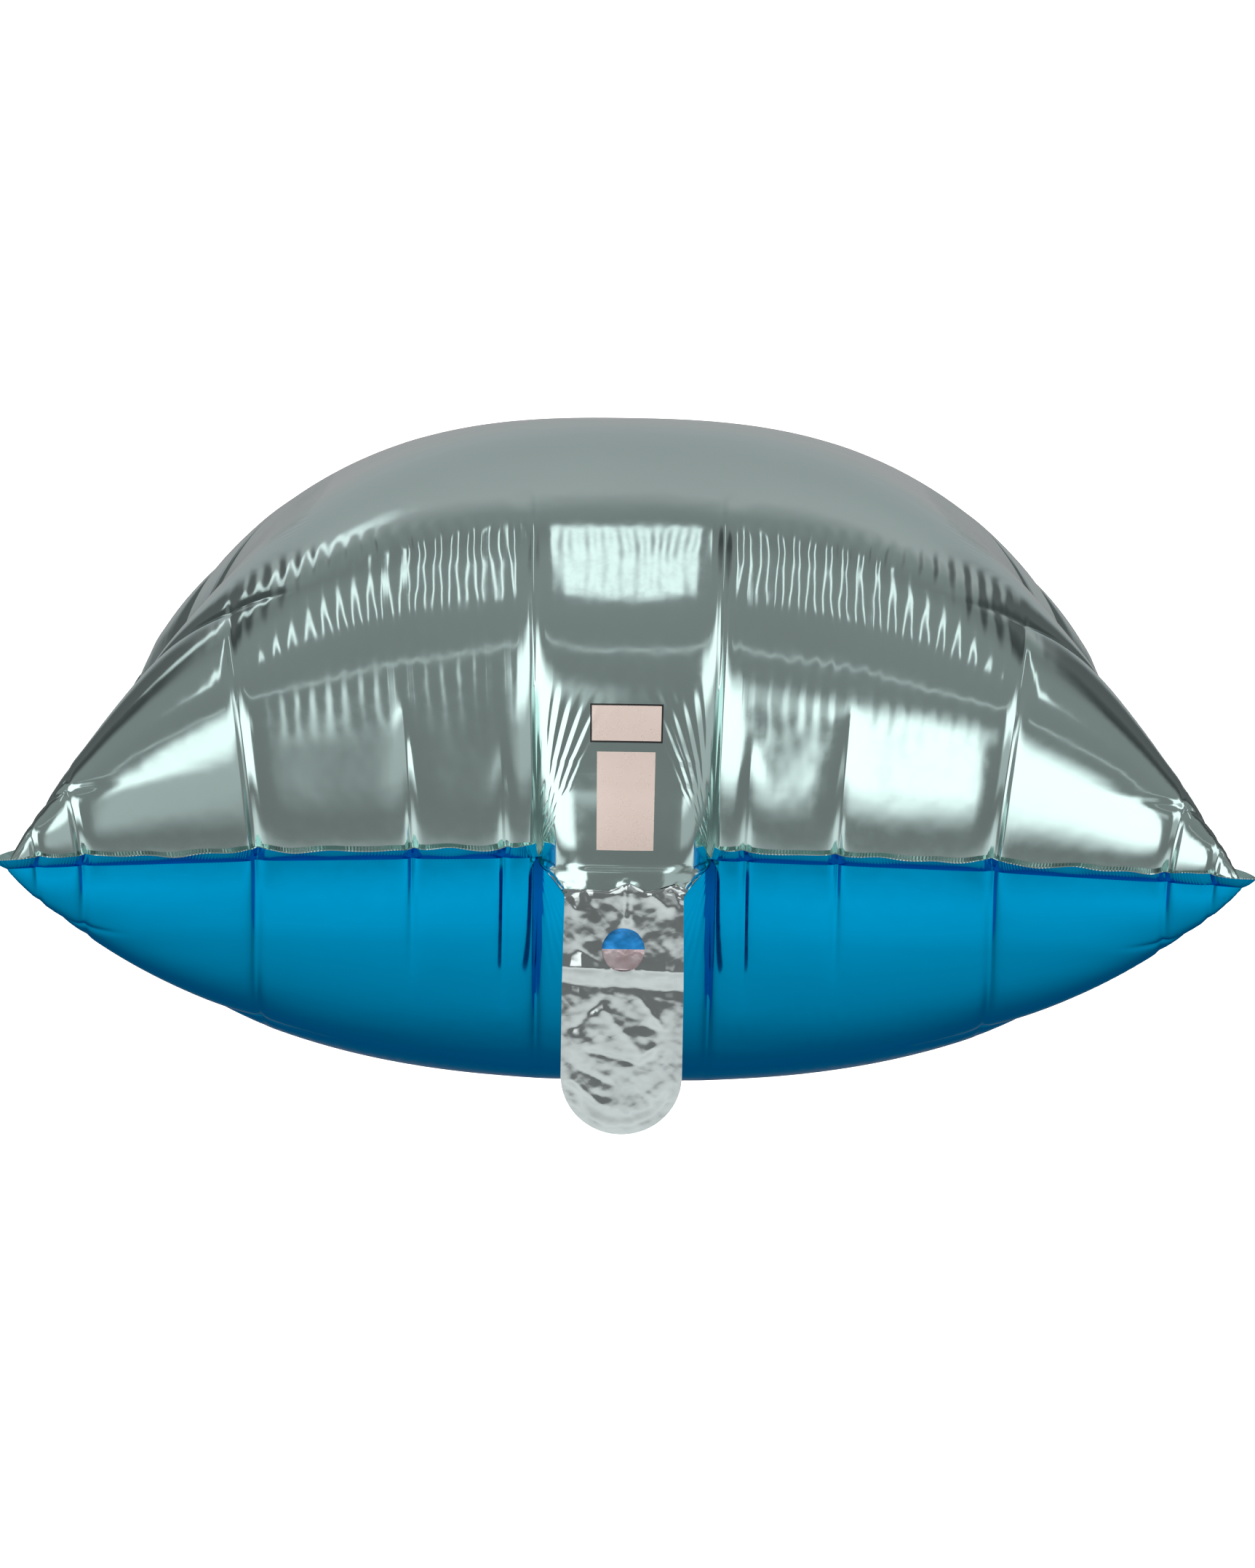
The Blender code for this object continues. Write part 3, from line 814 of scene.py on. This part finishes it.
def crumple_height(across, drop):
    """Facets of crumpled film, from the distances to scattered points."""
    height = np.zeros(across.shape)
    for index in np.ndindex(across.shape):
        place = Vector((across[index] * 95, drop[index] * 95, 0.0)) + CRUMPLE_SEED
        near = noise.voronoi(place)[0]
        fine = noise.voronoi(place * 2.3)[0]
        height[index] = 0.00055 * (near[1] - near[0]) + 0.00016 * (fine[1] - fine[0])
    return height


def open_mouth(mesh):
    """Bring the printed film forward over the neck's mouth, where no weld holds it back."""
    cut, points = get_cut(mesh), get_points(mesh)
    share = smooth_step(1 - (cut[:, 1] + FLAT_HALF) / 0.035)
    share *= smooth_step((NECK_FLAT + 0.002 - np.abs(cut[:, 0])) / 0.012)
    points[:, 1] -= NECK_REACH * share
    set_points(mesh, points)


def rim_curve(mesh):
    """Cut places, relaxed seam and the printed film's direction where the neck leaves it."""
    cut, points = get_cut(mesh), get_points(mesh)
    rows = np.unique(np.round(cut[:, 1], 6))
    places = np.linspace(-NECK_FLAT, NECK_FLAT, TAIL_COLUMNS + 1)
    curves = []
    for level in (rows[0], rows[4]):
        on_row = np.flatnonzero(np.abs(cut[:, 1] - level) < 1e-6)
        order = on_row[np.argsort(cut[on_row, 0])]
        curves.append(np.stack([np.interp(places, cut[order, 0], points[order, k]) for k in range(3)], -1))
    toward = curves[0] - curves[1]
    return places, curves[0], toward / np.linalg.norm(toward, axis=-1, keepdims=True)


def neck_middle(rim, place, part):
    """Neck between its plies, from the seam (part 0) to the fold line (part 1), before its folds."""
    places, edge, toward = rim
    start = np.stack([np.interp(place, places, edge[:, k]) for k in range(3)], -1)
    lead = np.stack([np.interp(place, places, toward[:, k]) for k in range(3)], -1)
    level = np.zeros_like(place)
    end = np.stack([place / NECK_FLAT * TAIL_HALF_TOP, level + HINGE.y, level + HINGE.z], -1)
    t = part[..., None]
    return ((2 * t ** 3 - 3 * t ** 2 + 1) * start + (t ** 3 - 2 * t ** 2 + t) * NECK_PULL * lead
            + (3 * t ** 2 - 2 * t ** 3) * end + (t ** 3 - t ** 2) * NECK_PULL * np.array([0, 0, -1.0]))


def neck_facing(rim, place, part):
    step = 0.002
    down = neck_middle(rim, place, part + step) - neck_middle(rim, place, part - step)
    right = neck_middle(rim, place + step / 10, part) - neck_middle(rim, place - step / 10, part)
    facing = np.cross(right, -down)
    return facing / np.linalg.norm(facing, axis=-1, keepdims=True)


def ply_swell(inward, drop):
    """Middle surface to a ply: none at the seam, little at the weld, more between the welds."""
    swell = PLY_GAP + PLY_SWELL * smooth_step((inward - SEAL_WIDTH) / 0.004)
    return swell * smooth_step((drop + NECK_DROP) / 0.004)


def zigzag_drop(across):
    places, drops = np.array(ZIGZAG).T / 1000
    return np.interp(across, places, drops)


def grow_neck(skin, rim):
    """Carry the printed film on from the seam to the crease above the tail."""
    edit = bmesh.new()
    edit.from_mesh(skin.data)
    cut = edit.verts.layers.float_vector["cut"]
    edges = [edge for edge in edit.edges if edge.is_boundary and all(
        vert[cut].y < 1e-6 - FLAT_HALF and abs(vert[cut].x) < NECK_FLAT + 1e-5 for vert in edge.verts)]
    for row in range(1, NECK_ROWS + 1):
        grown = bmesh.ops.extrude_edge_only(edit, edges=edges)["geom"]
        fresh = {item for item in grown if isinstance(item, bmesh.types.BMVert)}
        edges = [item for item in grown
                 if isinstance(item, bmesh.types.BMEdge) and all(vert in fresh for vert in item.verts)]
        fresh = list(fresh)
        place = np.array([vert[cut].x for vert in fresh])
        narrowed = neck_middle(rim, place, np.full(len(place), 0.75))[:, 0]
        drop = -NECK_DROP + (zigzag_drop(narrowed) + NECK_DROP) * row / NECK_ROWS
        part = 1 + drop / NECK_DROP
        middle, facing = neck_middle(rim, place, part), neck_facing(rim, place, part)
        inward = edge_distance(middle[:, 0], np.maximum(drop, 0))
        height = ply_swell(inward, drop) + fold_height(middle[:, 0], drop) * smooth_step(
            (drop + NECK_DROP) / 0.004)
        for vert, point in zip(fresh, middle + facing * height[:, None]):
            vert.co = point
            vert[cut] = (vert[cut].x, -FLAT_HALF - NECK_DROP * row / NECK_ROWS, 0)
    edit.to_mesh(skin.data)
    edit.free()


def tail_lattice():
    """Flat places of the hanging tail's lattice, squared round the hole and rounded at the end."""
    step = TAIL_HALF * 2 / TAIL_COLUMNS
    rows_above = round(HOLE_DROP / step)
    rows_below = round((TAIL_LENGTH - TAIL_HALF - HOLE_DROP) / step)
    x = np.linspace(-TAIL_HALF, TAIL_HALF, TAIL_COLUMNS + 1)
    upper = np.linspace(0, HOLE_DROP, rows_above + 1)
    lower = np.linspace(HOLE_DROP, TAIL_LENGTH - TAIL_HALF, rows_below + 1)[1:]
    straight = np.concatenate([upper, lower])
    across, drop = np.meshgrid(x, straight, indexing="ij")
    hole_cells = round(HOLE_RADIUS / step)
    ring = hole_cells * step
    dx, dz = across, drop - HOLE_DROP
    size = np.maximum(np.abs(dx), np.abs(dz))
    reach = np.hypot(dx, dz) + 1e-12
    round_share = 1 - smooth_step((size - ring) / (HOLE_BLEND - ring))
    radius = size * HOLE_RADIUS / ring
    across = across + round_share * (dx / reach * radius - dx)
    drop = drop + round_share * (dz / reach * radius - dz)
    taper = TAIL_HALF_TOP + (TAIL_HALF - TAIL_HALF_TOP) * np.clip(drop / TAIL_TAPER, 0, 1)
    across = across * taper / TAIL_HALF
    end_rows = round(TAIL_HALF / step)
    share = np.linspace(0, 1, end_rows + 1)[1:]
    sx, sd = np.meshgrid(x / TAIL_HALF, share, indexing="ij")
    end_x = TAIL_HALF * sx * np.sqrt(1 - sd ** 2 / 2)
    end_d = TAIL_LENGTH - TAIL_HALF + TAIL_HALF * sd * np.sqrt(1 - sx ** 2 / 2)
    hole = (size < ring - step * 0.5)
    across = np.concatenate([across, end_x], axis=1)
    drop = np.concatenate([drop, end_d], axis=1)
    hole = np.concatenate([hole, np.zeros(end_x.shape, bool)], axis=1)
    return across, drop, hole


def edge_distance(across, drop):
    """Distance in from the tail's outline, zero outside."""
    straight = TAIL_HALF - np.abs(across)
    below = drop - (TAIL_LENGTH - TAIL_HALF)
    end = TAIL_HALF - np.hypot(across, np.maximum(below, 0))
    return np.clip(np.minimum(straight, end), 0, None)


def middle_surface(rim, from_seam):
    """Neck and tail between their plies: places, facing directions, flat places and the hole.

    The neck starts at the seam, or at the crease where the printed film ends.
    """
    across, drop, hole = tail_lattice()
    place = np.repeat(across[:, :1] / TAIL_HALF_TOP * NECK_FLAT, PLY_NECK_ROWS, axis=1)
    share = np.linspace(0, 1, PLY_NECK_ROWS + 1)[None, :-1]
    start = np.full(len(across), -NECK_DROP) if from_seam else zigzag_drop(across[:, 0])
    neck_drop = start[:, None] * (1 - share)
    part = 1 + neck_drop / NECK_DROP
    neck = neck_middle(rim, place, part)
    tail = np.stack([across, HINGE.y + TAIL_CURL * drop ** 2, HINGE.z - drop], -1)
    points = np.concatenate([neck, tail], axis=1)
    facing = np.cross(np.gradient(tail, axis=1), np.gradient(tail, axis=0))
    facing /= np.linalg.norm(facing, axis=-1, keepdims=True)
    facing = np.concatenate([neck_facing(rim, place, part), facing * -np.sign(facing[..., 1:2])], axis=1)
    flat_across = np.concatenate([neck[..., 0], across], axis=1)
    flat_drop = np.concatenate([neck_drop, drop], axis=1)
    hole = np.concatenate([np.zeros(neck.shape[:2], bool), hole], axis=1)
    return points, facing, flat_across, flat_drop, hole


def sheet_from_lattice(name, points, flat_across, flat_drop, keep):
    """Open sheet on a lattice of points, those outside keep deleted."""
    piece, column, row = lattice_sheet(name, points.shape[0] - 1, points.shape[1] - 1)
    flat = np.stack([flat_across, flat_drop, np.zeros_like(flat_drop)], -1)
    set_cut(piece.data, flat[column, row])
    set_points(piece.data, points[column, row])
    edit = bmesh.new()
    edit.from_mesh(piece.data)
    edit.verts.ensure_lookup_table()
    lost = [vert for vert in edit.verts if not keep[column[vert.index], row[vert.index]]]
    bmesh.ops.delete(edit, geom=lost, context="VERTS")
    edit.to_mesh(piece.data)
    edit.free()
    return piece


def tail_sheets(rims, materials):
    """Front and back plies down to the tail's round end, the weld and the two valve films."""
    pieces = {}
    for name, side, rim in (("tail_front_ply", 1, rims[0]), ("tail_back_ply", -1, rims[1])):
        middle, facing, across, drop, hole = middle_surface(rim, side < 0)
        inward = edge_distance(across, np.maximum(drop, 0))
        fade = smooth_step((drop + NECK_DROP) / 0.004)
        crumple = crumple_height(across, drop) * fade * smooth_step(inward / 0.003 + 0.25)
        if side > 0:
            crumple *= smooth_step((drop - zigzag_drop(across)[:, :]) / 0.003)
            crumple -= 0.0003 * smooth_step(1 - (drop - zigzag_drop(across)) / 0.0015)
        shaped = middle + facing * (fold_height(across, drop) * fade)[..., None]
        swell = side * ply_swell(inward, drop) + crumple * (1.0 if side > 0 else -0.6)
        ply = shaped + facing * swell[..., None]
        keep = ~hole if side > 0 else np.ones(hole.shape, bool)
        pieces[name] = sheet_from_lattice(name, ply, across, drop, keep)
        apply_modifier(pieces[name], "SUBSURF", levels=1, render_levels=1)
        finish_skin(pieces[name], materials[name], (0, -side, 0), PLY_THICK)
    on_tail = drop > 0.003
    pieces["tail_weld_band"] = sheet_from_lattice(
        "tail_weld_band", shaped, across, drop, on_tail & (inward < SEAL_WIDTH))
    under = shaped + facing * (ply_swell(inward, drop) * 0.15)[..., None]
    inked = (np.abs(across) < VALVE_HALF) & (drop > VALVE_TOP) & (drop < VALVE_SPLIT + 0.0004)
    pieces["valve_inked_window"] = sheet_from_lattice("valve_inked_window", under, across, drop, inked)
    clear = (np.abs(across) < VALVE_HALF) & (drop > VALVE_SPLIT - 0.0006) & (drop < VALVE_FOOT)
    under = under - facing * 0.0001
    pieces["valve_clear_window"] = sheet_from_lattice("valve_clear_window", under, across, drop, clear)
    for name in ("tail_weld_band", "valve_inked_window", "valve_clear_window"):
        finish_skin(pieces[name], materials[name], (0, -1, 0), PLY_THICK / 2)
    return pieces


# Studio


def add_camera():
    data = bpy.data.cameras.new("camera")
    data.sensor_fit = "HORIZONTAL"
    data.sensor_width = 36.0
    data.lens = FOCAL_PX / PHOTO_WIDTH * data.sensor_width
    data.shift_x = (PHOTO_WIDTH / 2 - CENTRE_PX[0]) / PHOTO_WIDTH
    data.shift_y = (CENTRE_PX[1] - PHOTO_HEIGHT / 2) / PHOTO_WIDTH
    data.clip_start, data.clip_end = 0.05, 50.0
    camera = bpy.data.objects.new("camera", data)
    bpy.context.scene.collection.objects.link(camera)
    back, up = math.cos(CAMERA_ELEVATION), math.sin(CAMERA_ELEVATION)
    camera.matrix_world = (
        Matrix.Rotation(-CAMERA_YAW, 4, "Z")
        @ Matrix.Translation((0, -CAMERA_DISTANCE * back, CAMERA_DISTANCE * up))
        @ Matrix.Rotation(math.pi / 2 - CAMERA_ELEVATION, 4, "X")
        @ Matrix.Rotation(CAMERA_ROLL, 4, "Z")
    )
    bpy.context.scene.camera = camera


def add_area(name, place, target, size, power, glossy=True):
    data = bpy.data.lights.new(name, "AREA")
    data.shape = "RECTANGLE"
    data.size, data.size_y = size
    data.energy = power
    light = bpy.data.objects.new(name, data)
    bpy.context.scene.collection.objects.link(light)
    light.location = place
    light.rotation_euler = (Vector(target) - Vector(place)).to_track_quat("-Z", "Y").to_euler()
    light.visible_glossy = glossy
    return light


def add_card(name, width, depth, place, turn, material):
    deselect()
    bpy.ops.mesh.primitive_plane_add(size=1.0, location=place, rotation=turn)
    card = bpy.context.active_object
    card.name = name
    card.scale = (width, depth, 1.0)
    card.data.materials.append(material)
    card.visible_glossy = False


# Studio's brightness round the balloon, by angle in the upright plane through the camera:
# -90 straight below, 0 toward the camera, 90 overhead, 180 behind, 270 straight below again
STUDIO = (
    (-90, 0.55), (-71, 0.65), (-57, 0.74), (-43, 0.88), (-29, 1.0), (-18, 0.85), (-13, 0.60), (-9, 0.24),
    (-4, 0.22), (40, 0.25), (60, 0.27), (75, 0.29), (90, 0.29), (105, 0.24), (117, 0.30), (128, 0.50),
    (150, 0.46), (170, 0.45), (181, 0.41), (190, 0.22), (205, 0.20), (235, 0.27), (250, 0.38), (270, 0.55),
)
# Soft cards in front of the balloon: azimuth (0 the camera's side, positive to its left), elevation,
# half width and half height in degrees, softness of the sides and of top and bottom, brightness
CARDS = (
    (44, 19.5, 31, 17, 2, 6, 1.35),
    (8, 34, 7, 3, 3, 3, 0.35),
    (-47, 36, 29, 10, 3, 5, 1.20),
    (-46, 15, 28, 12, 6, 5, 0.30),
    (0, 50, 34, 0.8, 3, 0.5, 0.35),
    (150, 49, 13, 3, 4, 2, 0.75),
)
# Card overhead: half width, near and far edge as parts of the level distance, softness, brightness
OVERHEAD = (0.034, -0.33, 0.29, 0.02, 1.05)
FAR_TONE = (1.0, 0.93, 0.945)


def add_world():
    world = bpy.data.worlds.new("studio")
    world.use_nodes = True
    bpy.context.scene.world = world
    graph = Graph(world.node_tree)
    direction = graph.node("ShaderNodeTexCoord").outputs["Generated"]
    x, y, z = graph.parts(direction)
    angle = graph.math("ARCTAN2", z, graph.math("MULTIPLY", y, -1.0))
    turn = graph.math("FRACT", graph.math("ADD", graph.math("DIVIDE", angle, 2 * math.pi), 0.25))
    ramp = graph.node("ShaderNodeValToRGB")
    graph.feed(ramp.inputs[0], turn)
    stops = ramp.color_ramp.elements
    while len(stops) > 1:
        stops.remove(stops[-1])
    for number, (degrees, value) in enumerate(STUDIO):
        stop = stops[0] if number == 0 else stops.new((degrees + 90) / 360)
        stop.position = (degrees + 90) / 360
        tone = FAR_TONE if 124 < degrees < 190 else (1, 1, 1)
        stop.color = (*(value * part for part in tone), 1)
    behind = graph.ramp(y, -0.05, 0.25)
    aside = graph.ramp(graph.math("ABSOLUTE", x), 0.28, 0.42)
    above = graph.ramp(z, -0.15, 0.02)
    dim = graph.math("MULTIPLY", graph.math("MULTIPLY", behind, aside), above)
    level = graph.math("SUBTRACT", 1.0, graph.math("MULTIPLY", dim, 0.70))
    azimuth = graph.math("DEGREES", graph.math("ARCTAN2", graph.math("MULTIPLY", x, -1.0),
                                               graph.math("MULTIPLY", y, -1.0)))
    elevation = graph.math("DEGREES", graph.math("ARCSINE", z))
    glow = 0.0
    for side, height, half_side, half_height, soft_side, soft_height, brightness in CARDS:
        off = graph.math("ABSOLUTE", graph.math("SUBTRACT", azimuth, side))
        rise = graph.math("ABSOLUTE", graph.math("SUBTRACT", elevation, height))
        card = graph.math("MULTIPLY", graph.ramp(off, half_side + soft_side, half_side - soft_side),
                          graph.ramp(rise, half_height + soft_height, half_height - soft_height))
        glow = graph.math("ADD", glow, graph.math("MULTIPLY", card, brightness))
    half_width, near, far, soft, brightness = OVERHEAD
    card = graph.ramp(graph.math("ABSOLUTE", x), half_width + soft, half_width - soft)
    off = graph.math("ABSOLUTE", graph.math("SUBTRACT", y, (near + far) / 2))
    card = graph.math("MULTIPLY", card, graph.ramp(off, (far - near) / 2 + soft, (far - near) / 2 - soft))
    card = graph.math("MULTIPLY", card, graph.ramp(z, 0.3, 0.6))
    glow = graph.math("ADD", glow, graph.math("MULTIPLY", card, brightness))
    shade = graph.mix_colour(level, (0, 0, 0, 1), ramp.outputs[0])
    lit = graph.node("ShaderNodeMix", data_type="RGBA", blend_type="ADD")
    lit.inputs[0].default_value = 1.0
    graph.feed(lit.inputs[6], shade)
    graph.feed(lit.inputs[7], glow)
    background = world.node_tree.nodes["Background"]
    graph.feed(background.inputs[0], lit.outputs[2])


def add_studio():
    pale = new_material("pale_floor", (0.9, 0.9, 0.9), 0.9, metallic=0.0)
    add_card("floor", 14, 9, (0, 2.2, -1.0), (0, 0, 0), pale)
    add_card("backdrop", 14, 5, (0, 4.0, 1.5), (math.pi / 2, 0, 0), pale)
    add_area("backdrop_wash", (0, 1.2, 2.8), (0, 4.0, 0.4), (5, 0.8), 260, glossy=False)
    add_area("floor_wash", (0, -1.8, 3.2), (0, 0.2, -1.0), (3, 1.5), 200, glossy=False)
    add_world()


# Assembly


def ride(piece, slot, *nodes):
    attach(piece, "envelope")
    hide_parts(*nodes)


def build_materials():
    GROUPS["ripples"] = ripple_group()
    GROUPS["handling"] = handling_group()
    GROUPS["crimp"] = crimp_group()
    mint = film_material("mint_film", MINT, 0.10, (0.85, 0.95, 0.95), 0.00007, prints=True)
    blue = film_material("blue_film", BLUE, 0.14, (0.05, 0.55, 0.95), 0.00003)
    silver = tail_material("tail_silver", SILVER, 0.08)
    return {
        "mint": mint,
        "blue": blue,
        "tail_front_ply": silver,
        "tail_back_ply": tail_material("tail_blue", BLUE, 0.15, (0.05, 0.55, 0.95)),
        "tail_weld_band": silver,
        "valve_inked_window": valve_material("valve_inked", VALVE_INK, 0.6),
        "valve_clear_window": valve_material("valve_clear", VALVE_CLEAR, 0.9),
    }


def build_envelope(materials):
    whole = joined_films()
    relax(whole)
    apply_modifier(whole, "SUBSURF", levels=1, render_levels=1)
    skins = split_films(whole)
    mint, blue = skins["mint_skin"], skins["blue_skin"]
    back_edge = rim_curve(blue.data)[1]
    open_mouth(mint.data)
    rim = rim_curve(mint.data)
    for name, side, start, end in MARGINS:
        margin = grow_margin(mint, name, side, start, end)
        film_uv(margin.data)
        point_outward(margin, (0, 0, 1))
        margin.data.shade_smooth()
        margin.data.materials.append(materials["mint"])
        margin.data.materials.append(materials["blue"])
        thicken(margin, MARGIN_THICK, 0.0, 1)
        margin.data.attributes.remove(margin.data.attributes["cut"])
        ride(margin, "mint_foil", "margin_" + name)
    grow_neck(mint, rim)
    finish_skin(mint, materials["mint"])
    finish_skin(blue, materials["blue"])
    ride(mint, "mint_foil", "mint_film", "neck_mint_film")
    ride(blue, "blue_foil", "blue_film")
    return rim, (rim[0], back_edge, rim[2])


def build_tail(rims, materials):
    pieces = tail_sheets(rims, materials)
    for name, slot, nodes in (
        ("tail_front_ply", "tail_foil", ("tail_mint_film",)),
        ("tail_back_ply", "blue_foil", ("neck_blue_film", "tail_blue_film")),
    ):
        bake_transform(pieces[name])
        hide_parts(*nodes)
    for name, slot, node in (
        ("tail_weld_band", "tail_foil", "tail_weld"),
        ("valve_inked_window", "valve_ink", "valve_inked_film"),
        ("valve_clear_window", "valve_clear", "valve_clear_film"),
    ):
        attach(pieces[name], "tail")
        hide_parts(node)


def main():
    bpy.context.scene.view_settings.view_transform = "Standard"
    add_camera()
    materials = build_materials()
    rims = build_envelope(materials)
    build_tail(rims, materials)
    add_studio()


main()
